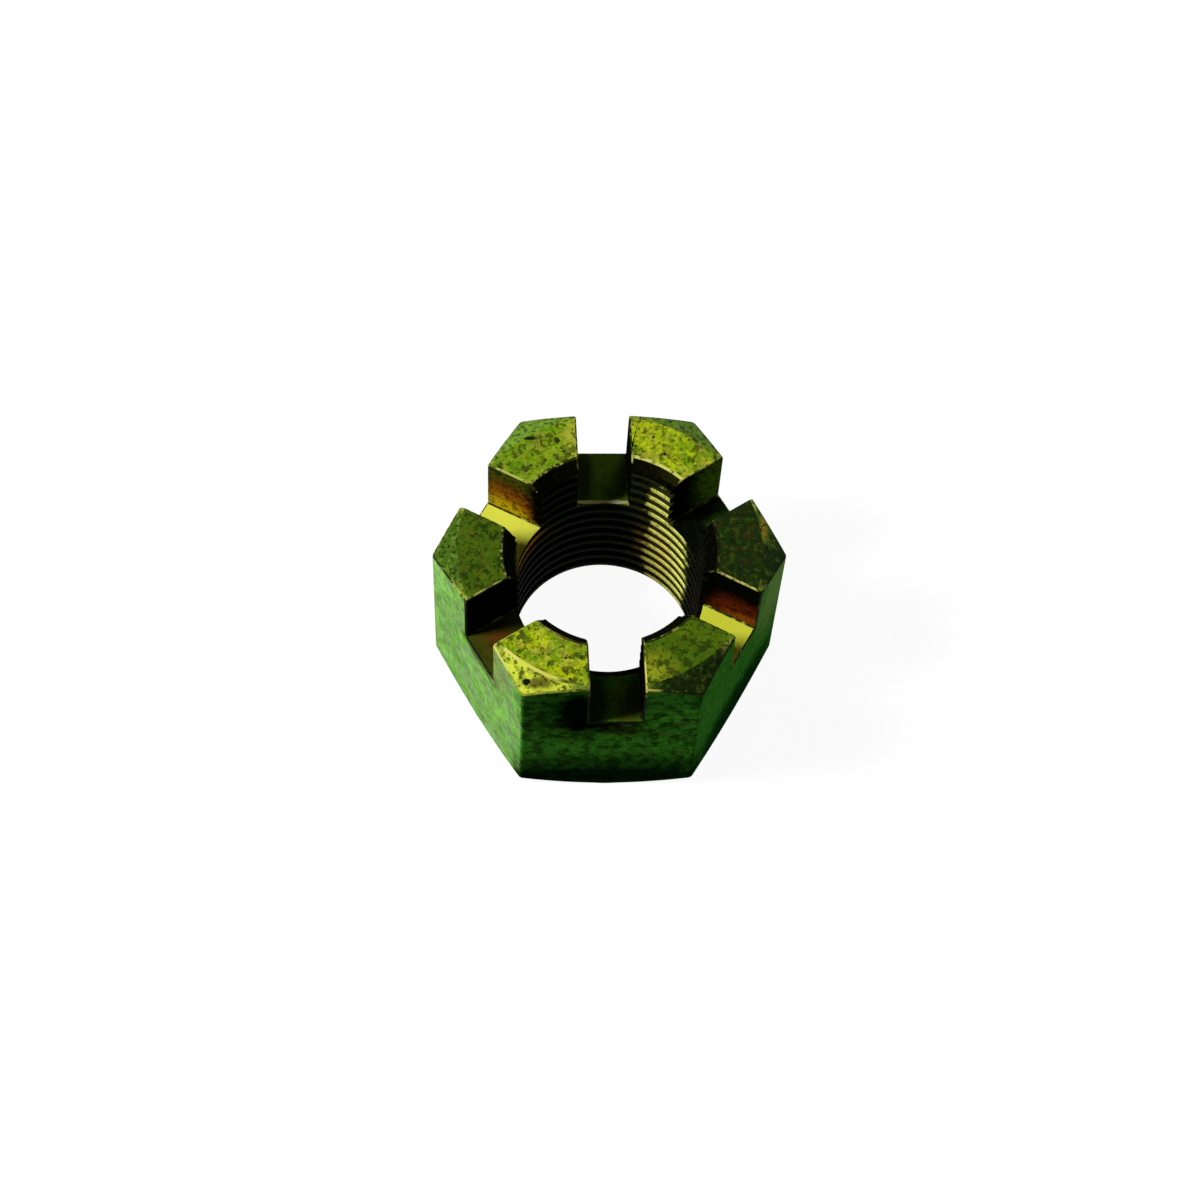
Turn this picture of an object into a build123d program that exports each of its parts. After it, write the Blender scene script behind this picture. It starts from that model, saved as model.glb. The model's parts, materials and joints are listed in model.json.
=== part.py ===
from build123d import *
import os
from math import cos, radians, tan

# Slotted hexagon nut for an M24 x 2 thread, locked by a split pin through its slots.
# +Z runs up the thread's axis, the origin is on that axis at the bearing face, and two of
# the six wrench flats face -Y and +Y. Lengths are millimetres and angles are degrees.

# Hexagon bar that the nut is cut from
flat_count = 6
across_flats = 36.0
height = 27.5
corner_radius = 0.6

# Cone turned on both ends of the bar, which leaves the curved edge along each flat
chamfer_inset = 0.2  # the cone starts this far inside the flats
chamfer_angle = 30.0  # measured from the end face

# Tapped bore, modelled at the crests of its thread
thread_diameter = 24.0
thread_pitch = 2.0
minor_depth_factor = 1.0825  # basic minor diameter is the major one less this many pitches
crest_clearance = 0.26  # on the basic minor diameter, within tolerance 6H
countersink_lip = 0.65  # the countersink's mouth, past the thread's major radius
countersink_angle = 45.0  # measured from the axis

# Split-pin slots, milled straight across the top face
slot_passes = 3  # each pass of the cutter makes two opposite slots
slot_width = 6.3
slot_depth = 9.4
slot_lead = 2.0  # how far the slots are turned ahead of the middles of the flats

# Sizes that follow from the ones above
half_sector = 180 / flat_count
corner_reach = across_flats / 2 / cos(radians(half_sector))
chamfer_start = across_flats / 2 - chamfer_inset
bore_radius = (thread_diameter - minor_depth_factor * thread_pitch + crest_clearance) / 2
mouth_radius = thread_diameter / 2 + countersink_lip
countersink_depth = (mouth_radius - bore_radius) / tan(radians(countersink_angle))
slot_floor = height - slot_depth


def hexagon_bar():
    """Hexagon bar with slightly rounded corners, standing on the bearing face."""
    outline = RegularPolygon(across_flats / 2, flat_count, major_radius=False)
    outline = fillet(outline.vertices(), corner_radius)
    return extrude(outline, height)


def turned_blank():
    """Round blank with the bore, its two countersinks and the two outer chamfers."""
    swing = corner_reach + corner_radius
    drop = (swing - chamfer_start) * tan(radians(chamfer_angle))
    inside = Polyline(
        (chamfer_start, 0),
        (mouth_radius, 0),
        (bore_radius, countersink_depth),
        (bore_radius, height - countersink_depth),
        (mouth_radius, height),
        (chamfer_start, height),
    )
    # Straight Bezier lines, so that the curved edges on the flats come out as splines
    top_chamfer = Bezier((chamfer_start, height), (swing, height - drop))
    outside = Line((swing, height - drop), (swing, drop))
    bottom_chamfer = Bezier((swing, drop), (chamfer_start, 0))
    section = make_face(Plane.XZ * (inside + top_chamfer + outside + bottom_chamfer))
    return revolve(section, Axis.Z)


def milled_slots():
    """Straight cuts across the top, one for each pass of the slotting cutter."""
    reach = 2 * (corner_reach + corner_radius)
    cutter = Box(reach, slot_width, height, align=(Align.CENTER, Align.CENTER, Align.MIN))
    first = half_sector + slot_lead
    step = 180 / slot_passes
    return [Pos(0, 0, slot_floor) * Rot(0, 0, first + step * n) * cutter for n in range(slot_passes)]


def castle_nut():
    """The nut: hexagon bar, turned to its chamfers and bore, then slotted."""
    return (hexagon_bar() & turned_blank()) - milled_slots()


os.makedirs("parts", exist_ok=True)
export_step(castle_nut(), "parts/castle_nut.step")
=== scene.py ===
"""Slotted hexagon nut for an M24 x 2 thread, in a stained yellow-green chromate finish, with light
and shade painted into parts of it.

The nut is cut from hexagon bar, turned at both ends, tapped through, and slotted straight
across its top face in three passes. Everything is in metres and in the frame of the CAD
model: +Z runs up the thread's axis and the nut stands on its bearing face.
"""

import json
import logging
import math
from dataclasses import dataclass
from enum import Enum

import bmesh
import bpy
from mathutils import Matrix, Vector


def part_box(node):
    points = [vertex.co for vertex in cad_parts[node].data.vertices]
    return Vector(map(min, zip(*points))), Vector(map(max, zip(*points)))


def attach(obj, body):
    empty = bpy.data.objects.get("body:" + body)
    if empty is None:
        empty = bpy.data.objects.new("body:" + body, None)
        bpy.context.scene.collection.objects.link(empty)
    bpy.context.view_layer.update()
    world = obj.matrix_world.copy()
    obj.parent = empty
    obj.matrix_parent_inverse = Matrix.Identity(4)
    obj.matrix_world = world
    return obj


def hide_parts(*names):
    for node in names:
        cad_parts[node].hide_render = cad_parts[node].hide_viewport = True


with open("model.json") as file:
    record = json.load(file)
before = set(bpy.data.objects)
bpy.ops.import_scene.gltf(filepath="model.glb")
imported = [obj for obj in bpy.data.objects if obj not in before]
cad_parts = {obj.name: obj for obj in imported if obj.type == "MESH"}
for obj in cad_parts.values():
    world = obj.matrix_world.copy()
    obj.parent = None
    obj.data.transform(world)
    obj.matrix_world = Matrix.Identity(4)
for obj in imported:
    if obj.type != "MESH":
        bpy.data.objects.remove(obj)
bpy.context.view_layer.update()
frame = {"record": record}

LOG = logging.getLogger("castle_nut")
NODE = "castle_nut"
MM = 0.001
FLATS = 6

Paint = tuple[int, int, int]
Colour = tuple[float, float, float]
Millimetres = tuple[float, float, float]


def linear(colour: Paint) -> Colour:
    """Give a mixed paint colour of 0 to 255 a channel as linear light."""
    shares = (channel / 255 for channel in colour)
    return tuple(share / 12.92 if share <= 0.04045 else ((share + 0.055) / 1.055) ** 2.4
                 for share in shares)


def around(azimuth: float, radius: float, height: float) -> Millimetres:
    """Place a point by its turn about the thread's axis.

    Args:
        azimuth: Degrees from +X, anticlockwise seen from above.
        radius: Distance from the axis.
        height: Distance above the bearing face.

    Returns:
        The point, in the units of radius and height.
    """
    turn = math.radians(azimuth)
    return radius * math.cos(turn), radius * math.sin(turn), height


class Part(Enum):
    """The kinds of surface on the nut, in the order of their material slots."""

    WRENCH_FLAT = 0
    TURNED_END = 1
    CHAMFER = 2
    SLOT_FLOOR = 3
    SLOT_WALL = 4
    THREAD = 5
    EDGE = 6


class Effect(Enum):
    """The shared shader groups that a layer of a finish can use."""

    MOTTLE = "mottle"
    STREAKS = "streaks"
    PITS = "pits"
    PATCH = "patch"
    FACING = "facing"
    HOLLOW = "hollow"


# ---------------------------------------------------------------- shader groups


class Workbench:
    """Adds nodes to one node tree, so that a finish reads as a list of steps."""

    def __init__(self, tree: bpy.types.NodeTree) -> None:
        """Keep the tree that the nodes go into."""
        self.tree = tree

    def add(self, kind: str, **settings: object) -> bpy.types.Node:
        """Add a node.

        Args:
            kind: The node's Blender type.
            **settings: Properties to set on the node.

        Returns:
            The new node.
        """
        node = self.tree.nodes.new(kind)
        for name, value in settings.items():
            setattr(node, name, value)
        return node

    def join(self, source: object, target: bpy.types.NodeSocket) -> None:
        """Link a socket to an input, or set the input to a plain value.

        Args:
            source: An output socket, a number or a tuple.
            target: The input socket.
        """
        if isinstance(source, bpy.types.NodeSocket):
            self.tree.links.new(source, target)
        else:
            target.default_value = source

    def math(self, operation: str, first: object, second: object = 0.0,
             third: object = 0.0) -> bpy.types.NodeSocket:
        """Add a Math node.

        Args:
            operation: The Math node's operation.
            first: First input.
            second: Second input.
            third: Third input.

        Returns:
            The node's output.
        """
        node = self.add("ShaderNodeMath", operation=operation)
        for value, socket in zip((first, second, third), node.inputs):
            self.join(value, socket)
        return node.outputs[0]

    def vector(self, operation: str, first: object, second: object = (0.0, 0.0, 0.0),
               output: int = 0) -> bpy.types.NodeSocket:
        """Add a Vector Math node.

        Args:
            operation: The node's operation.
            first: First vector.
            second: Second vector.
            output: Which output to return, 1 for a value.

        Returns:
            The chosen output.
        """
        node = self.add("ShaderNodeVectorMath", operation=operation)
        self.join(first, node.inputs[0])
        self.join(second, node.inputs[1])
        return node.outputs[output]

    def ramp(self, value: object, low: object, high: object) -> bpy.types.NodeSocket:
        """Rise smoothly from 0 at low to 1 at high.

        Args:
            value: The value to map.
            low: Where the ramp starts.
            high: Where the ramp ends.

        Returns:
            The mask socket.
        """
        node = self.add("ShaderNodeMapRange", interpolation_type="SMOOTHSTEP", clamp=True)
        for source, name in ((value, "Value"), (low, "From Min"), (high, "From Max")):
            self.join(source, node.inputs[name])
        return node.outputs["Result"]

    def step(self, value: object, level: object, softness: object) -> bpy.types.NodeSocket:
        """Rise smoothly from 0 to 1 about a level, over twice the softness."""
        return self.ramp(value, self.math("SUBTRACT", level, softness),
                         self.math("ADD", level, softness))

    def noise(self, vector: object, scale: object, detail: float = 4.0,
              roughness: float = 0.6) -> bpy.types.NodeSocket:
        """Add a Noise Texture.

        Args:
            vector: Coordinates in millimetres.
            scale: Features per millimetre.
            detail: Octaves.
            roughness: Strength of the finer octaves.

        Returns:
            The noise value, about 0 to 1.
        """
        node = self.add("ShaderNodeTexNoise")
        for source, name in ((vector, "Vector"), (scale, "Scale"), (detail, "Detail"),
                             (roughness, "Roughness")):
            self.join(source, node.inputs[name])
        return node.outputs["Fac"]

    def mix(self, share: object, under: object, over: object) -> bpy.types.NodeSocket:
        """Lay one colour over another.

        Args:
            share: How much of the upper colour shows.
            under: The lower colour.
            over: The upper colour.

        Returns:
            The mixed colour.
        """
        node = self.add("ShaderNodeMix", data_type="RGBA")
        # A Mix node keeps its two colours behind the sockets for numbers and vectors
        for source, socket in ((share, node.inputs[0]), (under, node.inputs[6]),
                               (over, node.inputs[7])):
            if isinstance(source, tuple):
                source = (*source, 1.0)
            self.join(source, socket)
        return node.outputs[2]


def start_group(name: str, inputs: dict[str, object]) -> tuple[Workbench, dict, object]:
    """Start a shared node group that takes a place in millimetres and gives a mask.

    Args:
        name: The group's name.
        inputs: Each further input's name and default. A tuple makes a vector socket.

    Returns:
        A workbench in the group, its input sockets by name, and its output's socket.
    """
    tree = bpy.data.node_groups.new(name, "ShaderNodeTree")
    inputs = {"Vector": (0.0, 0.0, 0.0), **inputs}
    for label, default in inputs.items():
        kind = "NodeSocketVector" if isinstance(default, tuple) else "NodeSocketFloat"
        socket = tree.interface.new_socket(label, in_out="INPUT", socket_type=kind)
        socket.default_value = default
    tree.interface.new_socket("Mask", in_out="OUTPUT", socket_type="NodeSocketFloat")
    bench = Workbench(tree)
    entry = bench.add("NodeGroupInput")
    leave = bench.add("NodeGroupOutput")
    return bench, {label: entry.outputs[label] for label in inputs}, leave.inputs["Mask"]


class EffectGroups:
    """The shader groups that every finish of the nut shares."""

    def __init__(self) -> None:
        """Build each group once."""
        self.trees = {
            Effect.MOTTLE: self._mottle(),
            Effect.STREAKS: self._streaks(),
            Effect.PITS: self._pits(),
            Effect.PATCH: self._patch(),
            Effect.FACING: self._facing(),
            Effect.HOLLOW: self._hollow(),
        }
        self.grain = self._grain()

    @staticmethod
    def _mottle() -> bpy.types.NodeTree:
        """Build cloudy blotches of a given size in millimetres."""
        bench, ends, out = start_group("blotches", {
            "Size": 2.0, "Level": 0.5, "Softness": 0.1, "Seed": 0.0})
        shift = bench.vector("MULTIPLY", (17.3, 31.7, 47.1), ends["Seed"])
        moved = bench.vector("ADD", ends["Vector"], shift)
        cloud = bench.noise(moved, bench.math("DIVIDE", 1.0, ends["Size"]))
        bench.join(bench.step(cloud, ends["Level"], ends["Softness"]), out)
        return bench.tree

    @staticmethod
    def _streaks() -> bpy.types.NodeTree:
        """Build drawn-out marks, given their size along each axis."""
        bench, ends, out = start_group("drawn marks", {
            "Size": (0.4, 0.4, 6.0), "Level": 0.5, "Softness": 0.1})
        drawn = bench.vector("DIVIDE", ends["Vector"], ends["Size"])
        cloud = bench.noise(drawn, 1.0, 3.0)
        bench.join(bench.step(cloud, ends["Level"], ends["Softness"]), out)
        return bench.tree

    @staticmethod
    def _pits() -> bpy.types.NodeTree:
        """Build scattered round pits, given their spacing and reach in millimetres."""
        bench, ends, out = start_group("pits", {"Spacing": 1.5, "Reach": 0.2, "Share": 0.5})
        wander = bench.noise(ends["Vector"], 1.2, 2.0)
        shift = bench.vector("MULTIPLY", (0.5, 0.4, 0.3), wander)
        cells = bench.add("ShaderNodeTexVoronoi")
        bench.join(bench.vector("ADD", ends["Vector"], shift), cells.inputs["Vector"])
        bench.join(bench.math("DIVIDE", 1.0, ends["Spacing"]), cells.inputs["Scale"])
        reach = bench.math("DIVIDE", ends["Reach"], ends["Spacing"])
        hole = bench.math("SUBTRACT", 1.0, bench.ramp(
            cells.outputs["Distance"], bench.math("MULTIPLY", reach, 0.5), reach))
        split = bench.add("ShaderNodeSeparateColor")
        bench.join(cells.outputs["Color"], split.inputs[0])
        chosen = bench.math("LESS_THAN", split.outputs[0], ends["Share"])
        bench.join(bench.math("MULTIPLY", hole, chosen), out)
        return bench.tree

    @staticmethod
    def _patch() -> bpy.types.NodeTree:
        """Build one stain of a given place and size in millimetres, with a ragged rim."""
        bench, ends, out = start_group("stain", {
            "Centre": (0.0, 0.0, 0.0), "Size": (1.0, 1.0, 1.0),
            "Ragged": 0.3, "Softness": 0.2})
        offset = bench.vector("DIVIDE", bench.vector("SUBTRACT", ends["Vector"], ends["Centre"]),
                              ends["Size"])
        reach = bench.vector("LENGTH", offset, output=1)
        cloud = bench.math("SUBTRACT", bench.noise(ends["Vector"], 0.9, 5.0, 0.65), 0.5)
        ragged = bench.math("MULTIPLY_ADD", cloud, ends["Ragged"], reach)
        outside = bench.step(ragged, 1.0, ends["Softness"])
        bench.join(bench.math("SUBTRACT", 1.0, outside), out)
        return bench.tree

    @staticmethod
    def _facing() -> bpy.types.NodeTree:
        """Build a tone for the faces that face one way, broken up by blotches."""
        bench, ends, out = start_group("side tone", {
            "Direction": (1.0, 0.0, 0.0), "Size": 2.0,
            "Level": 0.375, "Softness": 0.125, "Broken": 0.15})
        normal = bench.add("ShaderNodeTexCoord").outputs["Normal"]
        facing_it = bench.vector("DOT_PRODUCT", normal, ends["Direction"], output=1)
        blotches = bench.noise(ends["Vector"], bench.math("DIVIDE", 1.0, ends["Size"]))
        cloud = bench.step(blotches, ends["Level"], ends["Softness"])
        whole = bench.math("SUBTRACT", 1.0, ends["Broken"])
        share = bench.math("MULTIPLY_ADD", cloud, ends["Broken"], whole)
        bench.join(bench.math("MULTIPLY", bench.ramp(facing_it, 0.8, 0.9), share), out)
        return bench.tree

    @staticmethod
    def _hollow() -> bpy.types.NodeTree:
        """Build painted shade that lies outside a given radius, as in a thread's roots."""
        bench, ends, out = start_group("root shade", {"Inner": 11.0, "Outer": 12.0})
        flat = bench.vector("MULTIPLY", ends["Vector"], (1.0, 1.0, 0.0))
        radius = bench.vector("LENGTH", flat, output=1)
        bench.join(bench.ramp(radius, ends["Inner"], ends["Outer"]), out)
        return bench.tree

    @staticmethod
    def _grain() -> bpy.types.NodeTree:
        """Build the fine crystalline height of the chromate layer."""
        bench, ends, out = start_group("grain", {"Size": 0.25, "Coarse": 0.5})
        fine = bench.noise(ends["Vector"], bench.math("DIVIDE", 1.0, ends["Size"]), 3.0, 0.6)
        coarse = bench.noise(ends["Vector"], 0.6, 4.0, 0.55)
        bench.join(bench.math("MULTIPLY_ADD", coarse, ends["Coarse"], fine), out)
        return bench.tree


# ---------------------------------------------------------------- finishes


@dataclass(frozen=True)
class Layer:
    """One layer of colour that lies over the base of a finish.

    Attributes:
        effect: The shader group that shapes the layer.
        colour: Its paint colour, of 0 to 255 a channel.
        strength: How much of it shows where its mask is full.
        settings: Values for the group's other inputs.
        depth: How far it sinks or stands, as a share of the finish's relief.
    """

    effect: Effect
    colour: Paint
    strength: float
    settings: tuple[tuple[str, object], ...]
    depth: float = 0.0


def mottle(colour: Paint, strength: float, size: float, level: float = 0.5,
           softness: float = 0.08, seed: float = 0.0, depth: float = 0.0) -> Layer:
    """Describe cloudy blotches.

    Args:
        colour: Paint colour.
        strength: How much shows.
        size: Blotch size in millimetres.
        level: Noise level at which a blotch starts, higher for fewer.
        softness: Width of a blotch's rim.
        seed: Shifts the pattern.
        depth: Share of the relief.

    Returns:
        The layer.
    """
    settings = (("Size", size), ("Level", level), ("Softness", softness), ("Seed", seed))
    return Layer(Effect.MOTTLE, colour, strength, settings, depth)


def streaks(colour: Paint, strength: float, size: Millimetres, level: float,
            softness: float) -> Layer:
    """Describe drawn-out marks by their size along each axis in millimetres."""
    settings = (("Size", size), ("Level", level), ("Softness", softness))
    return Layer(Effect.STREAKS, colour, strength, settings)


def pits(colour: Paint, strength: float, spacing: float, reach: float, share: float,
         depth: float = -1.0) -> Layer:
    """Describe scattered pits by their spacing and reach in millimetres."""
    settings = (("Spacing", spacing), ("Reach", reach), ("Share", share))
    return Layer(Effect.PITS, colour, strength, settings, depth)


def patch(colour: Paint, strength: float, centre: Millimetres, size: Millimetres,
          ragged: float = 0.6, softness: float = 0.25) -> Layer:
    """Describe one stain.

    Args:
        colour: Paint colour.
        strength: How much shows at its middle.
        centre: Its place in millimetres.
        size: Half its size along each axis in millimetres.
        ragged: How far its rim wanders.
        softness: Width of its rim.

    Returns:
        The layer.
    """
    settings = (("Centre", centre), ("Size", size), ("Ragged", ragged), ("Softness", softness))
    return Layer(Effect.PATCH, colour, strength, settings)


def facing(colour: Paint, strength: float, turn: float) -> Layer:
    """Describe a tone on the upright faces that face one way, in degrees from +X."""
    return Layer(Effect.FACING, colour, strength, (("Direction", around(turn, 1.0, 0.0)),))


def side_mottle(colour: Paint, strength: float, turn: float, size: float,
                level: float) -> Layer:
    """Describe blotches of a size in millimetres on the faces that face one way."""
    settings = (("Direction", around(turn, 1.0, 0.0)), ("Size", size), ("Level", level),
                ("Softness", 0.05), ("Broken", 1.0))
    return Layer(Effect.FACING, colour, strength, settings)


def hollow(colour: Paint, strength: float, inner: float, outer: float) -> Layer:
    """Describe painted shade that rises between two radii, in millimetres."""
    return Layer(Effect.HOLLOW, colour, strength, (("Inner", inner), ("Outer", outer)))


@dataclass(frozen=True)
class Finish:
    """A procedural finish for one kind of surface.

    Attributes:
        name: The material's name.
        base: Paint under all the layers.
        layers: Colour layers, lowest first.
        roughness: Roughness on the base.
        metallic: How much of the surface shows bare metal.
        sheen_level: Specular level of the clear chromate skin.
        relief: Height of the grain in metres.
        grain: Size of the grain in millimetres.
    """

    name: str
    base: Paint
    layers: tuple[Layer, ...]
    roughness: float = 0.6
    metallic: float = 0.0
    sheen_level: float = 0.1
    relief: float = 0.00004
    grain: float = 0.25

    def material(self, groups: EffectGroups) -> bpy.types.Material:
        """Build the finish.

        Args:
            groups: The shared shader groups.

        Returns:
            The new material.
        """
        made = bpy.data.materials.new(self.name)
        made.use_nodes = True
        base = linear(self.base)
        made.diffuse_color = (*base, 1.0)
        made.node_tree.nodes.clear()
        bench = Workbench(made.node_tree)
        place = bench.add("ShaderNodeTexCoord").outputs["Object"]
        vector = bench.vector("MULTIPLY", place, (1000.0, 1000.0, 1000.0))
        grain = bench.add("ShaderNodeGroup", node_tree=groups.grain)
        bench.join(vector, grain.inputs["Vector"])
        bench.join(self.grain, grain.inputs["Size"])
        height = grain.outputs["Mask"]
        colour: object = base
        for layer in self.layers:
            node = bench.add("ShaderNodeGroup", node_tree=groups.trees[layer.effect])
            bench.join(vector, node.inputs["Vector"])
            for label, value in layer.settings:
                bench.join(value, node.inputs[label])
            mask = node.outputs["Mask"]
            share = bench.math("MULTIPLY", mask, layer.strength)
            colour = bench.mix(share, colour, linear(layer.colour))
            if layer.depth:
                height = bench.math("MULTIPLY_ADD", mask, layer.depth, height)
        shader = bench.add("ShaderNodeBsdfPrincipled")
        bench.join(colour, shader.inputs["Base Color"])
        rough = bench.math("MULTIPLY_ADD", grain.outputs["Mask"], 0.2, self.roughness - 0.15)
        bench.join(rough, shader.inputs["Roughness"])
        shader.inputs["Metallic"].default_value = self.metallic
        shader.inputs["Specular IOR Level"].default_value = self.sheen_level
        bump = bench.add("ShaderNodeBump")
        bump.inputs["Distance"].default_value = self.relief
        bump.inputs["Strength"].default_value = 1.0
        bench.join(height, bump.inputs["Height"])
        bench.join(bump.outputs["Normal"], shader.inputs["Normal"])
        bench.join(shader.outputs["BSDF"], bench.add("ShaderNodeOutputMaterial").inputs["Surface"])
        return made


# Middles of the six blocks between the slots, by their turn about the axis
RIGHT, BACK_RIGHT, BACK_LEFT, LEFT, FRONT_LEFT, FRONT_RIGHT = 0, 60, 120, 180, 240, 300

# Wrench flats and slots, by their turn about the axis
FRONT_FLAT, RIGHT_FLAT = 270, 330
FRONT_SLOT, BACK_SLOT = 272, 92
LEFT_BACK_SLOT, LEFT_FRONT_SLOT, RIGHT_FRONT_SLOT, RIGHT_BACK_SLOT = 152, 212, 332, 32

# Measures of the nut in millimetres, which the marks of the finishes are placed by
TOP, FLOOR = 27.5, 18.1
FACE, HALF_SLOT = 18.0, 3.15


def block(turn: float, radius: float = 15.2, height: float = TOP) -> Millimetres:
    """Give the middle of a block's top, or a point near it, in millimetres."""
    return around(turn, radius, height)


def wall(slot: float, side: int, along: float, height: float) -> Millimetres:
    """Give a point on the wall of a slot.

    Args:
        slot: The slot's turn about the axis, in degrees.
        side: -1 for the wall that is clockwise of the slot, and 1 for the other.
        along: Distance from the axis along the slot.
        height: Distance above the bearing face.

    Returns:
        The point in millimetres.
    """
    turn = math.radians(slot)
    off = HALF_SLOT * side
    return (along * math.cos(turn) - off * math.sin(turn),
            along * math.sin(turn) + off * math.cos(turn), height)


def block_tone(colour: Paint, strength: float, turn: float) -> Layer:
    """Describe a tone over the whole flat end of the block at a turn."""
    return patch(colour, strength, block(turn), (7.4, 7.4, 4.0), 0.3)


def cone_tone(colour: Paint, strength: float, turn: float) -> Layer:
    """Describe a tone over the whole cone of the block at a turn."""
    return patch(colour, strength, block(turn, 19.2), (5.0, 5.0, 4.0), 0.3)


def floor_shadow(colour: Paint, slot: float) -> Layer:
    """Describe painted shadow over the whole floor of a slot."""
    return patch(colour, 1.0, around(slot, 15.5, FLOOR), (6.4, 6.4, 3.0), 0.1)


def flats_finish() -> Finish:
    """Describe the rough green chromate of the wrench flats, with painted shade on the front and
    right flats, a painted shadow beside the front slot and a painted rim of light at the right
    corner.
    """
    return Finish("flat_chromate", (176, 250, 116), (
        mottle((140, 212, 88), 0.75, 4.2, 0.5, 0.1),
        mottle((170, 178, 150), 0.5, 3.4, 0.53, 0.08, 3.0),
        mottle((166, 158, 176), 0.35, 1.5, 0.57, 0.06, 21.0),
        mottle((186, 250, 124), 0.4, 1.3, 0.56, 0.06, 9.0),
        patch((166, 172, 112), 0.72, around(222, 19.0, 22.5), (3.6, 3.6, 5.0), 1.2, 0.5),
        # Painted shade: the front and right flats, turned from the key lamp, are painted darker.
        facing((70, 172, 40), 0.97, FRONT_FLAT),
        facing((84, 204, 62), 0.97, RIGHT_FLAT),
        side_mottle((118, 232, 66), 0.5, FRONT_FLAT, 2.2, 0.52),
        side_mottle((120, 60, 44), 0.4, FRONT_FLAT, 1.7, 0.57),
        mottle((96, 84, 62), 0.26, 1.7, 0.55, 0.06, 13.0),
        mottle((124, 236, 72), 0.35, 0.8, 0.55, 0.05, 15.0),
        patch((96, 204, 56), 0.5, around(FRONT_FLAT, FACE, 9.4), (12.0, 2.0, 4.2), 1.6, 0.6),
        mottle((22, 72, 18), 0.2, 1.1, 0.54, 0.05, 19.0),
        streaks((34, 92, 24), 0.12, (0.5, 0.5, 3.0), 0.53, 0.06),
        # Painted light: a rim of light at the right flat's far corner.
        patch((190, 255, 130), 0.85, around(355, 19.4, 21.5), (3.2, 3.8, 8.5), 1.6, 0.7),
        patch((12, 38, 12), 0.92, around(FRONT_FLAT, FACE, 2.4), (16.0, 2.0, 2.3), 1.0),
        patch((14, 44, 12), 0.7, around(FRONT_FLAT, FACE, 4.6), (16.0, 2.0, 4.0), 1.4, 0.5),
        patch((20, 78, 30), 0.92, around(RIGHT_FLAT, FACE, 3.2), (12.0, 10.0, 5.0), 1.4, 0.5),
        patch((70, 160, 46), 0.8, around(FRONT_FLAT, FACE, 24.5), (13.0, 2.0, 3.0), 1.4, 0.5),
        # Painted shadow: dark green and black patches beside and below the front slot.
        patch((26, 64, 22), 0.7, (-6.2, -FACE, 20.5), (4.0, 2.0, 5.0), 1.8, 0.7),
        side_mottle((3, 14, 3), 0.6, FRONT_FLAT, 1.5, 0.53),
        patch((5, 8, 4), 0.97, (-3.7, -FACE, 20.8), (2.5, 2.0, 6.2), 1.0, 0.5),
        patch((5, 8, 4), 0.96, (-1.6, -FACE, 17.6), (4.2, 2.0, 1.5), 1.0, 0.6),
        patch((50, 22, 10), 0.75, (1.6, -FACE, 16.0), (2.2, 2.0, 1.6), 1.6, 0.6),
        patch((66, 58, 28), 0.75, around(LEFT_FRONT_SLOT, 17.9, 18.2), (3.6, 3.6, 1.8), 1.4, 0.5),
        mottle((18, 44, 12), 0.28, 0.5, 0.6, 0.04, 5.0),
        pits((8, 18, 6), 0.7, 2.2, 0.16, 0.3),
    ), 0.75, sheen_level=0.0, relief=0.000015)


def ends_finish() -> Finish:
    """Describe the mottled yellow-green of the turned ends."""
    return Finish("top_chromate", (188, 204, 18), (
        mottle((122, 162, 10), 0.85, 2.4, 0.5, 0.08),
        mottle((214, 212, 70), 0.45, 1.1, 0.56, 0.05, 2.0),
        block_tone((92, 142, 18), 0.62, BACK_LEFT),
        mottle((168, 144, 62), 0.4, 1.5, 0.555, 0.05, 17.0),
        mottle((70, 112, 12), 0.5, 0.6, 0.53, 0.05, 8.0),
        block_tone((50, 88, 6), 0.84, LEFT),
        block_tone((9, 32, 4), 0.97, RIGHT),
        block_tone((60, 98, 4), 0.86, FRONT_RIGHT),
        patch((172, 182, 36), 0.85, block(FRONT_RIGHT - 17, 16.6), (3.2, 2.6, 2.0), 1.4, 0.6),
        patch((196, 196, 60), 0.6, block(BACK_LEFT - 16, 15.5), (1.5, 3.2, 2.0), 1.2, 0.6),
        mottle((112, 54, 10), 0.28, 0.9, 0.585, 0.04, 11.0),
        mottle((86, 132, 20), 0.35, 0.7, 0.56, 0.04, 31.0),
        mottle((22, 40, 3), 0.7, 1.2, 0.57, 0.04, 7.0),
        mottle((10, 18, 2), 0.72, 0.5, 0.595, 0.035, 4.0, -0.4),
        block_tone((5, 26, 3), 0.4, RIGHT),
        block_tone((14, 44, 4), 0.3, LEFT),
        block_tone((14, 44, 4), 0.2, FRONT_RIGHT - 3),
        patch((8, 12, 4), 0.97, (-9.3, 14.7, TOP), (0.8, 0.24, 1.0), 0.3),
        patch((10, 16, 4), 0.9, (-6.1, 14.4, TOP), (0.36, 0.5, 1.0), 2.4),
        pits((10, 14, 3), 0.95, 1.7, 0.22, 0.45),
    ), 0.6, sheen_level=0.04)


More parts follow.
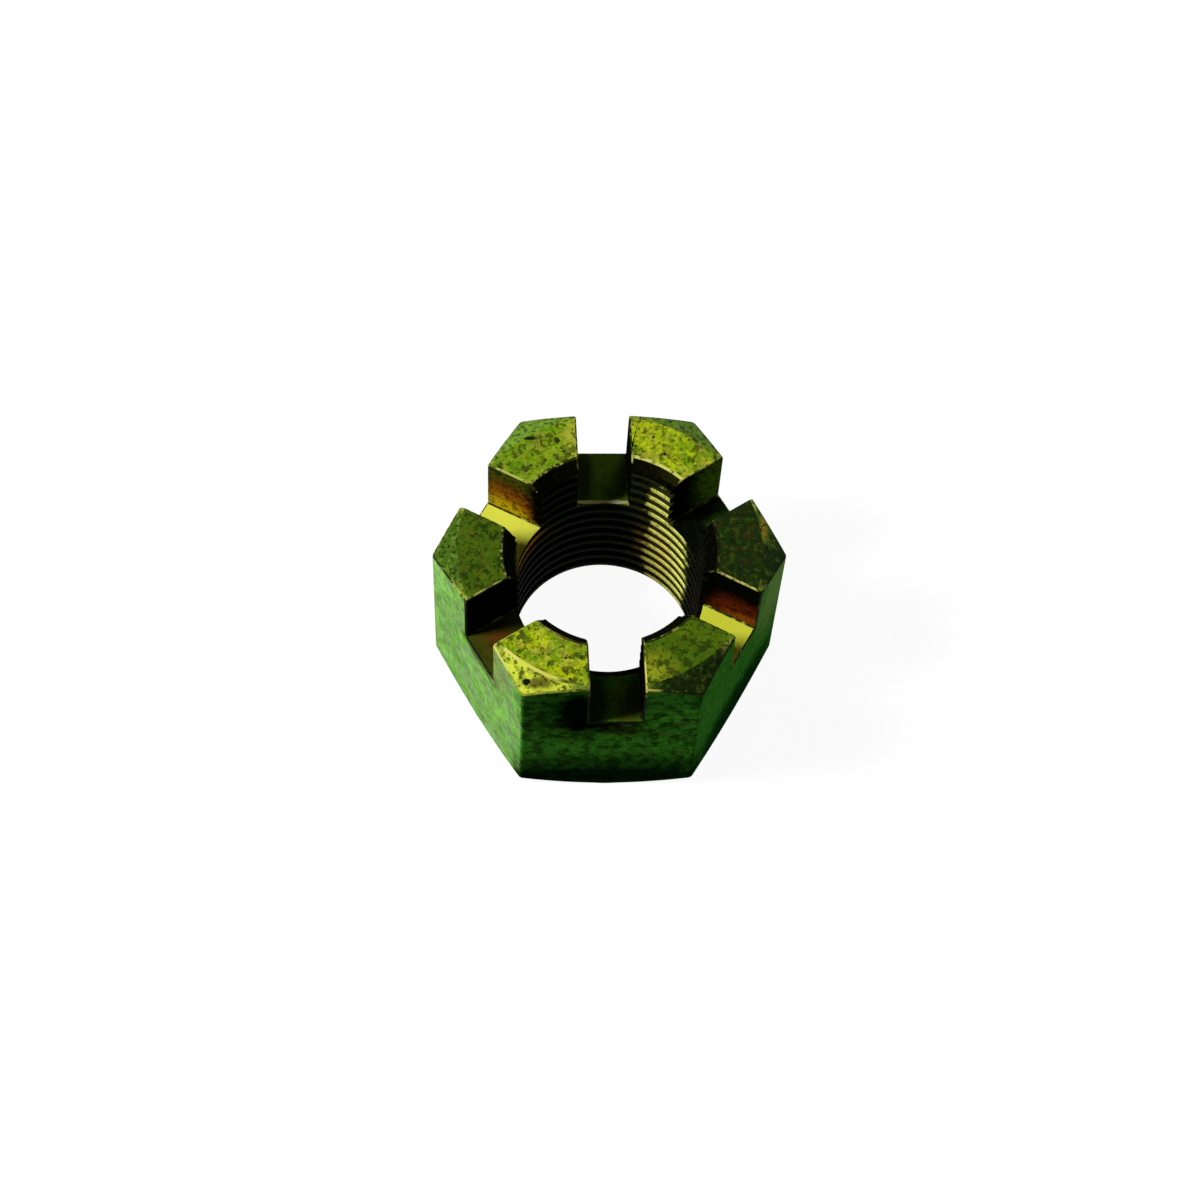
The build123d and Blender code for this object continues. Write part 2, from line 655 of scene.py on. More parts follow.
def chamfers_finish() -> Finish:
    """Describe the turned cones at the corners of the blocks, with painted light on the front left
    cone and painted shade on the right-hand ones.
    """
    return Finish("chamfer_chromate", (120, 150, 45), (
        mottle((200, 205, 90), 0.5, 0.9, 0.55, 0.05, 6.0),
        cone_tone((52, 88, 12), 0.85, LEFT),
        # Painted light: the front left cone, which faces the key lamp, is painted bright.
        cone_tone((222, 236, 66), 0.94, FRONT_LEFT),
        cone_tone((86, 122, 36), 0.8, BACK_RIGHT),
        cone_tone((116, 158, 50), 0.8, BACK_LEFT),
        mottle((60, 84, 14), 0.45, 1.0, 0.55, 0.05, 3.0),
        # Painted shade: the front right and right cones, turned from the key lamp, are painted
        # dark.
        cone_tone((14, 34, 6), 0.93, FRONT_RIGHT),
        cone_tone((18, 42, 8), 0.93, RIGHT),
        patch((120, 165, 40), 0.5, block(RIGHT + 11, 18.6, 27.0), (0.9, 3.0, 1.4), 1.2, 0.4),
        patch((225, 185, 54), 0.65, block(RIGHT + 9, 18.3, 27.2), (0.4, 1.6, 0.9), 1.4, 0.4),
        mottle((150, 196, 70), 0.25, 0.8, 0.57, 0.05, 41.0),
        mottle((14, 24, 4), 0.8, 0.5, 0.565, 0.04, 4.0, -0.4),
        # More painted shade on the front right and right cones.
        cone_tone((6, 24, 4), 0.5, FRONT_RIGHT),
        cone_tone((6, 26, 3), 0.45, RIGHT),
        patch((70, 58, 14), 0.85, block(FRONT_LEFT + 4, 18.7, 26.8), (1.6, 0.7, 0.8), 1.6, 0.5),
        patch((6, 8, 3), 1.0, block(FRONT_LEFT - 0.6, 19.3, 26.6), (0.5, 0.36, 0.6), 1.6),
        patch((60, 56, 14), 0.8, block(FRONT_LEFT - 3.4, 18.7, 27.0), (0.3, 0.3, 0.6), 0.8),
        pits((10, 14, 3), 0.95, 1.5, 0.2, 0.45),
    ), 0.6, sheen_level=0.03)


def floors_finish() -> Finish:
    """Describe the milled slot floors, one pass painted lit and two painted in shadow."""
    return Finish("slot_floor_chromate", (226, 230, 76), (
        streaks((176, 160, 46), 0.3, (0.3, 3.0, 3.0), 0.53, 0.05),
        mottle((250, 250, 140), 0.3, 0.8, 0.57, 0.05, 6.0),
        # Painted shadow: the floors of the passes that the blocks shade are painted dark.
        floor_shadow((64, 68, 14), LEFT_FRONT_SLOT),
        floor_shadow((6, 8, 3), RIGHT_BACK_SLOT),
        patch((44, 84, 18), 0.6, around(28, 17.4, FLOOR), (2.6, 2.6, 1.0), 2.8, 0.7),
        floor_shadow((92, 128, 28), BACK_SLOT),
        floor_shadow((80, 138, 28), FRONT_SLOT),
        patch((96, 38, 14), 0.5, around(277, 16.0, FLOOR), (1.5, 3.2, 1.0), 1.6, 0.6),
        # Painted shadow: black strips on the front and back floors.
        patch((5, 5, 3), 0.9, around(264, 15.6, FLOOR), (1.6, 4.2, 1.0), 1.2, 0.6),
        patch((110, 46, 16), 0.6, around(210, 14.6, FLOOR), (1.7, 1.2, 1.0), 1.6, 0.6),
        patch((5, 5, 3), 0.85, around(101, 15.0, FLOOR), (1.3, 4.4, 1.0), 1.4, 0.6),
        mottle((16, 24, 6), 0.35, 1.1, 0.56, 0.06),
        # Painted light: the floors of the lit pass are painted evenly bright, over the shadows that
        # the blocks cast on them.
        patch((228, 232, 78), 0.9, around(LEFT_BACK_SLOT, 15.8, FLOOR), (5.4, 5.4, 1.0), 0.2),
        patch((218, 224, 62), 0.9, around(RIGHT_FRONT_SLOT, 15.8, FLOOR), (5.4, 5.4, 1.0), 0.2),
        # Painted highlight: bright glints along the back floor's inner edge.
        patch((255, 240, 150), 0.9, around(BACK_SLOT, 11.2, FLOOR), (4.0, 0.24, 0.4), 0.9),
        patch((255, 250, 190), 1.0, around(84.0, 11.25, FLOOR), (0.75, 0.32, 0.4), 0.3),
    ), 0.6, sheen_level=0.01, relief=0.00001)


def walls_finish() -> Finish:
    """Describe the milled slot walls, painted black as shade, with brown and gold painted low down
    as light thrown up from the bright floors.
    """
    # Painted shade: the walls' black base.
    return Finish("slot_wall_chromate", (10, 11, 5), (
        # Painted light: brown to gold low on the walls beside the bright floors, as light thrown up
        # from them.
        patch((92, 98, 20), 0.95, wall(LEFT_BACK_SLOT, -1, 15.8, 24.0), (4.6, 4.6, 4.6), 0.8, 0.5),
        patch((74, 36, 8), 0.75, wall(LEFT_BACK_SLOT, -1, 14.2, 23.6), (2.6, 2.6, 1.8), 1.4, 0.7),
        patch((168, 98, 16), 0.92, wall(LEFT_BACK_SLOT, -1, 15.0, 20.8), (4.2, 4.2, 3.2), 1.0, 0.6),
        patch((212, 180, 26), 0.85, wall(LEFT_BACK_SLOT, -1, 16.2, 19.0), (3.8, 3.8, 2.0), 1.2,
              0.6),
        patch((112, 42, 10), 0.95, wall(RIGHT_FRONT_SLOT, 1, 15.9, 20.0), (4.2, 4.2, 2.8), 1.2,
              0.6),
        patch((180, 100, 24), 0.5, wall(RIGHT_FRONT_SLOT, 1, 16.8, 18.9), (2.6, 2.6, 1.0), 1.4,
              0.5),
        patch((116, 172, 34), 0.95, wall(RIGHT_BACK_SLOT, 1, 17.2, 22.6), (2.8, 2.8, 5.5), 1.2,
              0.7),
        mottle((8, 8, 4), 0.65, 0.6, 0.54, 0.05),
        # Painted shade: black over the walls' inner ends near the bore.
        patch((5, 5, 3), 0.97, (0.0, 0.0, 24.0), (12.9, 12.9, 14.0), 0.3, 0.06),
    ), 0.6, sheen_level=0.0)


def thread_finish() -> Finish:
    """Describe the thread, dark all round with painted shade, but for the side where a band of
    light is painted.
    """
    return Finish("thread_chromate", (36, 46, 18), (
        # Painted shade: the back left of the bore, turned from the key lamp.
        patch((6, 6, 3), 0.97, around(125, 12.0, 22.5), (5.0, 5.0, 5.0), 0.4),
        patch((6, 8, 3), 0.98, (0.0, 0.0, TOP), (14.0, 14.0, 2.1), 0.2, 0.1),
        # Painted shade: the right of the bore beside the lit band.
        patch((8, 8, 3), 0.97, around(6, 12.0, 14.0), (4.6, 4.6, 20.0), 0.5),
        patch((84, 100, 20), 0.85, around(110, 12.2, 26.9), (4.2, 1.4, 0.9), 1.8, 0.6),
        # Painted light: the band that the key lamp lights through the left back slot, from the top
        # down the wall.
        patch((214, 212, 56), 0.95, around(52, 12.2, 26.95), (2.4, 1.8, 0.45), 1.0, 0.3),
        patch((120, 120, 32), 0.7, around(66, 12.2, 26.9), (3.0, 1.2, 0.6), 2.0, 0.5),
        patch((255, 255, 124), 0.98, around(45, 12.4, 8.0), (3.9, 3.9, 13.0), 1.0, 0.14),
        patch((255, 255, 122), 0.97, around(52, 12.4, 21.0), (2.8, 1.9, 5.0), 1.0, 0.14),
        # Painted light: the thread just below the left back slot's floor.
        patch((222, 158, 48), 0.95, around(150, 11.4, 16.4), (3.0, 3.0, 1.8), 1.0, 0.5),
        patch((250, 238, 130), 0.8, around(150, 11.2, 17.8), (2.6, 2.6, 0.3), 1.4, 0.4),
        # Painted light: a warm tint on the lit band.
        patch((240, 160, 70), 0.22, around(56, 11.6, 9.0), (2.8, 2.8, 6.0), 3.5, 0.5),
        # Painted shade: the thread's roots, shaded by the crests above them.
        hollow((5, 5, 3), 0.98, 11.06, 11.19),
        mottle((30, 30, 8), 0.4, 0.45, 0.57, 0.05, 3.0),
    ), 0.5, metallic=0.1, sheen_level=0.0, relief=0.00002)


def edges_finish() -> Finish:
    """Describe the rounded edges, dark with bright rubbed places, with a painted highlight on the
    front left block and painted shadow beside the front and left front slots.
    """
    return Finish("worn_edge_and_painted_light", (44, 58, 12), (
        # Painted highlight: the front left block's edges, which face the key lamp.
        patch((176, 184, 60), 0.75, block(FRONT_LEFT, 16.5), (7.6, 7.6, 4.0), 0.8),
        mottle((196, 200, 84), 0.7, 0.6, 0.56, 0.04),
        patch((10, 18, 4), 0.85, block(RIGHT, 17.5), (6.5, 8.0, 4.0), 0.5),
        patch((10, 20, 4), 0.75, block(FRONT_RIGHT, 18.5), (6.0, 6.0, 4.0), 0.5),
        patch((10, 16, 4), 0.85, block(BACK_RIGHT, 18.5), (7.0, 4.5, 4.0), 0.5),
        patch((6, 12, 4), 0.85, (-5.0, -14.0, TOP), (4.0, 3.4, 3.0), 0.8),
        # Painted shadow: the edges beside the front and left front slots.
        patch((6, 10, 3), 0.96, (0.6, -17.8, 21.6), (5.0, 1.8, 4.9), 0.3, 0.1),
        patch((8, 12, 4), 0.94, around(LEFT_FRONT_SLOT, 17.9, 21.6), (4.6, 4.6, 4.9), 0.3, 0.1),
        patch((215, 208, 110), 0.85, (14.6, -4.4, TOP), (3.6, 1.6, 0.9), 2.2, 0.2),
        patch((200, 200, 90), 0.85, (-14.6, -5.0, TOP), (3.6, 1.8, 0.9), 2.2, 0.2),
        patch((222, 222, 110), 0.9, around(62, 12.7, TOP), (5.2, 2.0, 0.8), 2.0, 0.3),
        patch((210, 215, 100), 0.8, (-12.6, 9.4, TOP), (3.6, 2.6, 0.8), 2.4, 0.3),
        patch((215, 210, 100), 0.9, around(283, 17.4, 27.3), (1.8, 2.6, 1.0), 1.2, 0.3),
        mottle((8, 12, 4), 0.75, 0.8, 0.55, 0.05, 5.0),
        # Painted highlight: a bright line along the front left block's arc.
        patch((230, 228, 104), 0.85, block(238, 17.8), (4.6, 2.6, 0.6), 1.6),
        patch((230, 226, 120), 0.85, around(228, 18.6, 27.0), (1.8, 1.8, 1.2), 1.6),
    ), 0.55, sheen_level=0.02, relief=0.00001)


def chromate_finishes() -> dict[Part, Finish]:
    """List the finish of each kind of surface.

    Returns:
        The finishes by the part they dress.
    """
    return {
        Part.WRENCH_FLAT: flats_finish(),
        Part.TURNED_END: ends_finish(),
        Part.CHAMFER: chamfers_finish(),
        Part.SLOT_FLOOR: floors_finish(),
        Part.SLOT_WALL: walls_finish(),
        Part.THREAD: thread_finish(),
        Part.EDGE: edges_finish(),
    }


# ---------------------------------------------------------------- mesh helpers


def shape_from(name: str, mesh: bmesh.types.BMesh) -> bpy.types.Object:
    """Turn a finished bmesh into an object at the origin.

    Args:
        name: The object's name.
        mesh: The mesh, which is freed.

    Returns:
        The new object.
    """
    bmesh.ops.recalc_face_normals(mesh, faces=mesh.faces)
    data = bpy.data.meshes.new(name)
    mesh.to_mesh(data)
    mesh.free()
    made = bpy.data.objects.new(name, data)
    bpy.context.scene.collection.objects.link(made)
    return made


def carve(target: bpy.types.Object, tool: bpy.types.Object, operation: str) -> None:
    """Cut one shape with another and delete the tool.

    Args:
        target: The shape that is kept.
        tool: The shape that cuts it.
        operation: INTERSECT or DIFFERENCE.
    """
    cut = target.modifiers.new("cut", "BOOLEAN")
    cut.object = tool
    cut.operation = operation
    cut.solver = "EXACT"
    shapes = bpy.context.evaluated_depsgraph_get()
    result = bpy.data.meshes.new_from_object(target.evaluated_get(shapes))
    target.modifiers.clear()
    spare = target.data
    target.data = result
    result.name = target.name
    bpy.data.meshes.remove(spare)
    blade = tool.data
    bpy.data.objects.remove(tool)
    bpy.data.meshes.remove(blade)


# ---------------------------------------------------------------- the nut

# How finely round shapes are stepped
CORNER_STEPS = 5
LATHE_STEPS = 180
TAP_STEPS_A_TURN = 72

# Half the thread's angle in degrees, and how far the tap starts inside the crests
FLANK_ANGLE = 30.0
TAP_OVERLAP = 0.35 * MM

# Points nearer than these are one point, edges shorter vanish, and faces nearer are level
WELD = 0.05 * MM
SHORTEST_EDGE = 0.03 * MM
CLOSE = 0.02 * MM

# Corners sharper than the first are rounded, and bends sharper than the second show an edge
ROUNDED_BEND = math.radians(25)
SHADED_BEND = math.radians(38)


@dataclass
class SlottedNut:
    """The nut, cut and dressed. Lengths are metres and angles are degrees.

    Attributes:
        across_flats: Width of the hexagon bar.
        height: Height over both faces.
        bore_radius: Radius at the crests of the thread.
        corner_radius: Rounding of the bar's corners.
        cone_inset: How far the end cones start inside the flats.
        cone_angle: Angle of the end cones from the faces.
        thread_radius: Radius at the roots of the thread.
        pitch: Rise of the thread in one turn.
        root_share: Width of the root flat, as a share of the pitch.
        thread_start: Height at which the thread's groove crosses +X.
        mouth_radius: Radius of the countersinks at the faces.
        slot_width: Width of the split-pin slots.
        slot_floor: Height of the slots' floors.
        slot_lead: How far the slots are turned ahead of the middles of the flats.
        edge_round: Width of the small rounding on every edge but the thread's.
    """

    across_flats: float
    height: float
    bore_radius: float
    corner_radius: float = 0.6 * MM
    cone_inset: float = 0.2 * MM
    cone_angle: float = 30.0
    thread_radius: float = 12.0 * MM
    pitch: float = 2.0 * MM
    root_share: float = 0.125
    thread_start: float = 0.5 * MM
    mouth_radius: float = 12.65 * MM
    slot_width: float = 6.3 * MM
    slot_floor: float = 18.1 * MM
    slot_lead: float = 2.0
    edge_round: float = 0.2 * MM

    @property
    def corner_reach(self) -> float:
        """Radius through the bar's sharp corners."""
        return self.across_flats / 2 / math.cos(math.pi / FLATS)

    def hexagon_bar(self) -> bpy.types.Object:
        """Make the length of hexagon bar, with its corners rounded."""
        mesh = bmesh.new()
        bmesh.ops.create_circle(mesh, cap_ends=True, segments=FLATS, radius=self.corner_reach)
        turn = Matrix.Rotation(math.pi / FLATS, 3, "Z")
        bmesh.ops.rotate(mesh, verts=mesh.verts, cent=(0, 0, 0), matrix=turn)
        grown = bmesh.ops.extrude_face_region(mesh, geom=mesh.faces[:])["geom"]
        top = [item for item in grown if isinstance(item, bmesh.types.BMVert)]
        bmesh.ops.translate(mesh, verts=top, vec=(0, 0, self.height))
        corners = [edge for edge in mesh.edges
                   if abs(edge.verts[0].co.z - edge.verts[1].co.z) > self.height / 2]
        bmesh.ops.bevel(mesh, geom=corners, offset=self.corner_radius * math.tan(math.pi / FLATS),
                        offset_type="OFFSET", segments=CORNER_STEPS, profile=0.5,
                        affect="EDGES", material=-1)
        return shape_from(NODE + "_bar", mesh)

    def turned_ring(self) -> bpy.types.Object:
        """Make the ring that the lathe leaves: bore, countersinks, faces and end cones."""
        swing = self.corner_reach + MM
        inner = self.across_flats / 2 - self.cone_inset
        drop = (swing - inner) * math.tan(math.radians(self.cone_angle))
        sink = self.mouth_radius - self.bore_radius
        outline = [
            (self.bore_radius, sink),
            (self.mouth_radius, 0.0),
            (inner, 0.0),
            (swing, drop),
            (swing, self.height - drop),
            (inner, self.height),
            (self.mouth_radius, self.height),
            (self.bore_radius, self.height - sink),
        ]
        mesh = bmesh.new()
        points = [mesh.verts.new((radius, 0.0, level)) for radius, level in outline]
        lines = [mesh.edges.new((point, points[place - 1])) for place, point in enumerate(points)]
        bmesh.ops.spin(mesh, geom=points + lines, cent=(0, 0, 0), axis=(0, 0, 1),
                       angle=math.tau, steps=LATHE_STEPS, use_merge=True)
        bmesh.ops.remove_doubles(mesh, verts=mesh.verts, dist=MM / 10000)
        return shape_from(NODE + "_ring", mesh)

    def slot_cutter(self, turn: float) -> bpy.types.Object:
        """Make the block that one pass of the milling cutter takes out.

        Args:
            turn: Direction of the pass, in degrees.

        Returns:
            The cutter's object.
        """
        mesh = bmesh.new()
        bmesh.ops.create_cube(mesh, size=1.0)
        bmesh.ops.scale(mesh, vec=(4 * self.corner_reach, self.slot_width, self.height),
                        verts=mesh.verts)
        bmesh.ops.translate(mesh, vec=(0, 0, self.slot_floor + self.height / 2), verts=mesh.verts)
        bmesh.ops.rotate(mesh, verts=mesh.verts, cent=(0, 0, 0),
                         matrix=Matrix.Rotation(math.radians(turn), 3, "Z"))
        return shape_from(NODE + "_slot", mesh)

    def tap(self) -> bpy.types.Object:
        """Make the helical ridge of the tap, which cuts the thread's groove."""
        inside = self.bore_radius - TAP_OVERLAP
        half_root = self.pitch * self.root_share / 2
        half_mouth = half_root + (self.thread_radius - inside) * math.tan(math.radians(FLANK_ANGLE))
        start = self.thread_start - 2 * self.pitch
        tooth = [
            (inside, start - half_mouth),
            (self.thread_radius, start - half_root),
            (self.thread_radius, start + half_root),
            (inside, start + half_mouth),
        ]
        turns = math.ceil(self.height / self.pitch) + 3
        mesh = bmesh.new()
        face = mesh.faces.new([mesh.verts.new((radius, 0.0, level)) for radius, level in tooth])
        bmesh.ops.spin(mesh, geom=[face], cent=(0, 0, 0), axis=(0, 0, 1),
                       dvec=(0, 0, self.pitch / TAP_STEPS_A_TURN), angle=math.tau * turns,
                       steps=TAP_STEPS_A_TURN * turns, use_merge=False)
        return shape_from(NODE + "_tap", mesh)

    def surface_of(self, face: bmesh.types.BMFace) -> Part:
        """Tell which kind of surface a face belongs to.

        Args:
            face: A face of the cut nut.

        Returns:
            The kind of surface.
        """
        middle = face.calc_center_median()
        radius = math.hypot(middle.x, middle.y)
        normal = face.normal
        if abs(normal.z) > 0.999:
            if min(abs(middle.z), abs(middle.z - self.height)) < CLOSE:
                return Part.TURNED_END
            if abs(middle.z - self.slot_floor) < CLOSE:
                return Part.SLOT_FLOOR
            return Part.THREAD
        out = Vector((middle.x, middle.y)).dot(Vector((normal.x, normal.y)))
        if abs(normal.z) < 0.05 and out > self.across_flats / 2 - CLOSE:
            return Part.WRENCH_FLAT
        if radius > self.mouth_radius and abs(abs(normal.z) - math.cos(math.radians(
                self.cone_angle))) < 0.02:
            return Part.CHAMFER
        if abs(normal.z) < 0.02 and middle.z > self.slot_floor and self._on_slot_wall(middle):
            return Part.SLOT_WALL
        if radius > self.mouth_radius:
            return Part.WRENCH_FLAT
        return Part.THREAD

    def _on_slot_wall(self, point: Vector) -> bool:
        """Tell whether a point lies on the wall of a slot."""
        for number in range(FLATS // 2):
            turn = math.radians(180 / FLATS + self.slot_lead + 360 / FLATS * number)
            off = abs(point.y * math.cos(turn) - point.x * math.sin(turn))
            if abs(off - self.slot_width / 2) < CLOSE:
                return True
        return False

    def build(self) -> bpy.types.Object:
        """Cut the nut, round its edges and sort its faces.

        Returns:
            The nut's object, with a material slot number on each face.
        """
        nut = self.hexagon_bar()
        carve(nut, self.turned_ring(), "INTERSECT")
        for number in range(FLATS // 2):
            turn = 180 / FLATS + self.slot_lead + 360 / FLATS * number
            carve(nut, self.slot_cutter(turn), "DIFFERENCE")
        carve(nut, self.tap(), "DIFFERENCE")
        mesh = bmesh.new()
        mesh.from_mesh(nut.data)
        bmesh.ops.remove_doubles(mesh, verts=mesh.verts, dist=WELD)
        bmesh.ops.dissolve_degenerate(mesh, dist=SHORTEST_EDGE, edges=mesh.edges)
        wires = [edge for edge in mesh.edges if not edge.link_faces]
        bmesh.ops.delete(mesh, geom=wires, context="EDGES")
        mesh.normal_update()
        for face in mesh.faces:
            face.material_index = self.surface_of(face).value
        self.round_edges(mesh)
        bmesh.ops.recalc_face_normals(mesh, faces=mesh.faces)
        plain = {Part.WRENCH_FLAT.value, Part.TURNED_END.value, Part.SLOT_FLOOR.value,
                 Part.SLOT_WALL.value}
        for face in mesh.faces:
            face.smooth = face.material_index not in plain
        for edge in mesh.edges:
            edge.smooth = not edge.is_manifold or edge.calc_face_angle() < SHADED_BEND
        mesh.to_mesh(nut.data)
        open_edges = sum(not edge.is_manifold for edge in mesh.edges)
        LOG.info("nut cut: %d faces, %d open edges", len(mesh.faces), open_edges)
        mesh.free()
        nut.name = NODE + "_body"
        nut.data.name = nut.name
        return nut

    def round_edges(self, mesh: bmesh.types.BMesh) -> None:
        """Round every edge but the thread's.

        Args:
            mesh: The cut nut.
        """
        inner = self.mouth_radius - 0.1 * MM
        sharp = [edge for edge in mesh.edges
                 if edge.is_manifold and edge.calc_face_angle() > ROUNDED_BEND
                 and any(math.hypot(*point.co.xy) > inner for point in edge.verts)]
        rounded = bmesh.ops.bevel(mesh, geom=sharp, offset=self.edge_round, offset_type="OFFSET",
                                  segments=2, profile=0.5, affect="EDGES", material=-1,
                                  clamp_overlap=False)
        for face in rounded["faces"]:
            if self._takes_edge_finish(face):
                face.material_index = Part.EDGE.value
        bmesh.ops.remove_doubles(mesh, verts=mesh.verts, dist=MM / 1000)

    def _takes_edge_finish(self, face: bmesh.types.BMFace) -> bool:
        """Tell whether a rounded edge takes the edge finish, as all do but most ends of the cones;
        the front left cone's end takes it for its painted highlight.
        """
        middle = face.calc_center_median()
        on_cone = abs(math.hypot(middle.x, middle.y) - self.across_flats / 2
                      + self.cone_inset) < 0.25 * MM
        on_end = self.height - middle.z < 0.15 * MM or middle.z < 0.15 * MM
        turn = math.degrees(math.atan2(middle.y, middle.x)) % 360
        return not (on_cone and on_end and face.normal.z > 0.8) or abs(turn - FRONT_LEFT) < 14

    def dress(self, nut: bpy.types.Object, groups: EffectGroups) -> None:
        """Put the finishes on and tie the nut to the frame.

        Args:
            nut: The cut nut.
            groups: The shared shader groups.
        """
        finishes = chromate_finishes()
        kinds = [face.material_index for face in nut.data.polygons]
        while nut.data.materials:
            nut.data.materials.pop()
        for part in Part:
            nut.data.materials.append(finishes[part].material(groups))
        nut.data.polygons.foreach_set("material_index", kinds)
        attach(nut, "root")
        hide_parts(NODE)


# ---------------------------------------------------------------- studio


@dataclass(frozen=True)
class SoftLamp:
    """A round soft lamp that points at the nut.

    Attributes:
        name: The lamp's name.
        azimuth: Its turn about the nut, in degrees from +X.
        elevation: Its height above the floor, in degrees.
        level: Light on a card that faces it, where 1 shows a colour as written.
        width: Its diameter in metres.
        distance: Its distance from the nut in metres.
    """

    name: str
    azimuth: float
    elevation: float
    level: float
    width: float
    distance: float = 0.6

    def place(self, target: Vector) -> None:
        """Hang the lamp.

        Args:
            target: The point that it lights.
        """
        data = bpy.data.lights.new(self.name, "AREA")
        data.shape = "DISK"
        data.size = self.width
        data.energy = self.level * math.pi ** 2 * self.distance ** 2
        lamp = bpy.data.objects.new(self.name, data)
        level = math.radians(self.elevation)
        ray = Vector(around(self.azimuth, math.cos(level), math.sin(level)))
        lamp.location = target + ray * self.distance
        lamp.rotation_euler = ray.to_track_quat("Z", "Y").to_euler()
        bpy.context.scene.collection.objects.link(lamp)


@dataclass(frozen=True)
class CameraStand:
    """Where the camera stands, in widths across flats and in degrees.

    Attributes:
        turn: Turn about the nut from straight in front.
        tilt: Angle of the line of sight above the floor.
        roll: Turn about the line of sight.
        back: Distance back along the line of sight.
        side: Distance to the side.
        top: Distance along the picture's upright.
        aim: Height above the bearing face that the other distances start from.
        lens: Focal length in millimetres, for a sensor 36 mm wide.
    """

    turn: float = -4.556
    tilt: float = 63.581
    roll: float = 4.092
    back: float = 10.112
    side: float = -0.020
    top: float = 0.018
    aim: float = 0.35
    lens: float = 90.43

    def place(self, unit: float) -> None:
        """Add the camera to the scene.

        Args:
            unit: The nut's width across flats in metres.
        """
        turn, tilt, roll = (math.radians(angle) for angle in (self.turn, self.tilt, self.roll))
        back = Vector((math.sin(turn) * math.cos(tilt), -math.cos(turn) * math.cos(tilt),
                       math.sin(tilt)))
        right = Vector((math.cos(turn), math.sin(turn), 0.0))
        up = back.cross(right)
        side = math.cos(roll) * right + math.sin(roll) * up
        top = -math.sin(roll) * right + math.cos(roll) * up
        data = bpy.data.cameras.new("camera")
        data.lens = self.lens
        data.sensor_width = 36.0
        data.clip_start = 0.01
        camera = bpy.data.objects.new("camera", data)
        place = unit * (self.back * back + self.side * side + self.top * top
                        + Vector((0.0, 0.0, self.aim)))
        pose = Matrix((side, top, back)).transposed().to_4x4()
        camera.matrix_world = Matrix.Translation(place) @ pose
        bpy.context.scene.collection.objects.link(camera)
        bpy.context.scene.camera = camera


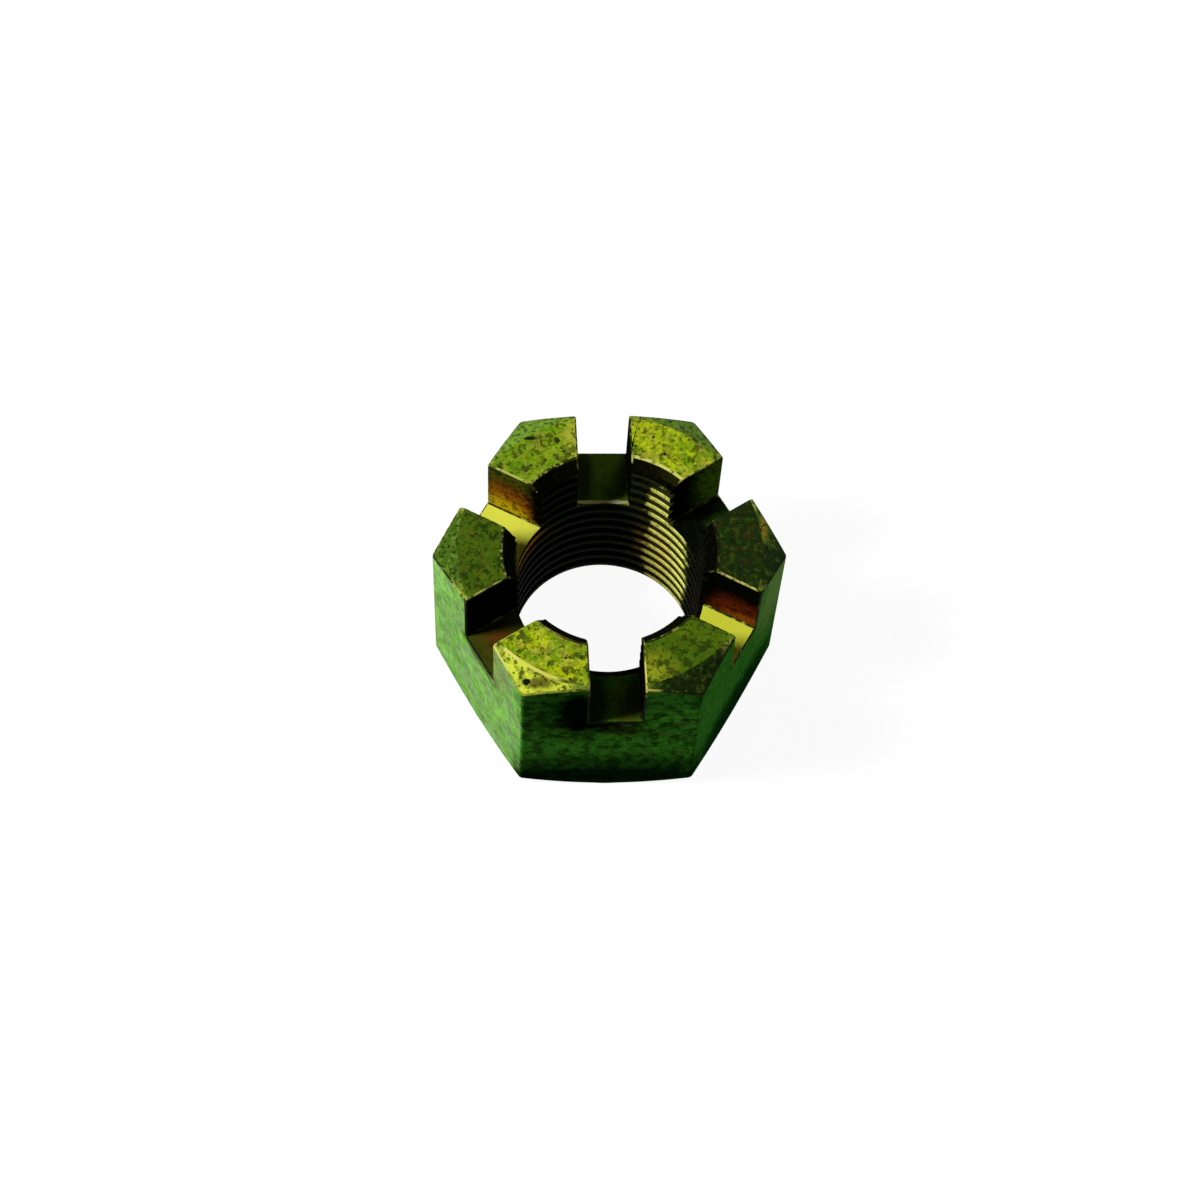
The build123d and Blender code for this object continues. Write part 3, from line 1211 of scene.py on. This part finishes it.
@dataclass
class Studio:
    """The pale floor, the backdrop and the lamps, and the camera that looks at them.

    Attributes:
        floor_side: Side of the square floor in metres.
        floor_gap: How far the floor lies below the bearing face, so that they don't meet.
        floor_glow: Share of the floor's white that doesn't depend on the lamps.
        floor_bounce: The floor's colour for light that it throws on the nut.
        fill: Light from all around, where 1 shows a colour as written.
    """

    floor_side: float = 6.0
    floor_gap: float = 0.05 * MM
    floor_glow: float = 0.94
    floor_bounce: float = 0.10
    fill: float = 0.03

    @staticmethod
    def seen_white(bench: Workbench) -> bpy.types.NodeSocket:
        """Mask the rays that should see white: from the camera, in gloss and through glass."""
        rays = bench.add("ShaderNodeLightPath")
        mask = bench.math("MAXIMUM", rays.outputs["Is Camera Ray"], rays.outputs["Is Glossy Ray"])
        return bench.math("MAXIMUM", mask, rays.outputs["Is Transmission Ray"])

    def lay_floor(self) -> None:
        """Lay the floor, white to look at and with the nut's shadow on it."""
        mesh = bmesh.new()
        bmesh.ops.create_grid(mesh, x_segments=2, y_segments=2, size=self.floor_side / 2)
        bmesh.ops.translate(mesh, vec=(0, 0, -self.floor_gap), verts=mesh.verts)
        floor = shape_from("studio_floor", mesh)
        paper = bpy.data.materials.new("pale_floor")
        paper.use_nodes = True
        paper.node_tree.nodes.clear()
        bench = Workbench(paper.node_tree)
        dim = bench.add("ShaderNodeBsdfDiffuse")
        dim.inputs["Color"].default_value = (*(self.floor_bounce,) * 3, 1.0)
        pale = bench.add("ShaderNodeBsdfDiffuse")
        pale.inputs["Color"].default_value = (*(1.6 * (1 - self.floor_glow),) * 3, 1.0)
        glow = bench.add("ShaderNodeEmission")
        glow.inputs["Strength"].default_value = self.floor_glow
        both = bench.add("ShaderNodeAddShader")
        bench.join(pale.outputs[0], both.inputs[0])
        bench.join(glow.outputs[0], both.inputs[1])
        choice = bench.add("ShaderNodeMixShader")
        bench.join(self.seen_white(bench), choice.inputs[0])
        bench.join(dim.outputs[0], choice.inputs[1])
        bench.join(both.outputs[0], choice.inputs[2])
        bench.join(choice.outputs[0], bench.add("ShaderNodeOutputMaterial").inputs["Surface"])
        floor.data.materials.append(paper)

    def hang_backdrop(self) -> None:
        """Set the world: white to look at, and a weak fill on the nut."""
        world = bpy.data.worlds.new("studio")
        bpy.context.scene.world = world
        world.use_nodes = True
        world.node_tree.nodes.clear()
        bench = Workbench(world.node_tree)
        light = bench.add("ShaderNodeBackground")
        bench.join(bench.mix(self.seen_white(bench), (self.fill,) * 3, (1.0, 1.0, 1.0)),
                   light.inputs["Color"])
        bench.join(light.outputs[0], bench.add("ShaderNodeOutputWorld").inputs["Surface"])

    @staticmethod
    def hang_lamps(target: Vector) -> None:
        """Hang the soft lamps.

        Args:
            target: The point that they light.
        """
        for lamp in (
            SoftLamp("key_lamp", azimuth=186.5, elevation=49.0, level=1.0, width=0.14),
            SoftLamp("right_lamp", azimuth=335.0, elevation=20.0, level=0.06, width=0.4),
            SoftLamp("back_lamp", azimuth=60.0, elevation=14.0, level=0.3, width=0.4),
        ):
            lamp.place(target)

    def set_up(self, unit: float, height: float) -> None:
        """Set up the whole studio.

        Args:
            unit: The nut's width across flats.
            height: The nut's height.
        """
        self.lay_floor()
        self.hang_backdrop()
        self.hang_lamps(Vector((0.0, 0.0, height / 2)))
        CameraStand().place(unit)
        bpy.context.scene.view_settings.view_transform = "Standard"


def thread_crest_radius() -> float:
    """Read the radius at the thread's crests from the record's mount, in metres."""
    for mount in frame["record"]["mounts"]:
        if mount.get("kind") == "threaded_hole":
            return mount["dims"]["r_mm"] * MM
    raise ValueError("the record has no threaded hole")


def main() -> None:
    """Build the nut and the studio."""
    logging.basicConfig(level=logging.INFO, format="%(name)s: %(message)s")
    low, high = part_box(NODE)
    nut = SlottedNut(across_flats=high[1] - low[1], height=high[2] - low[2],
                     bore_radius=thread_crest_radius())
    studio = Studio()
    studio.set_up(nut.across_flats, nut.height)
    body = nut.build()
    nut.dress(body, EffectGroups())
    LOG.info("%s: %d faces in %d finishes", body.name, len(body.data.polygons), len(Part))


if __name__ == "__main__":
    main()
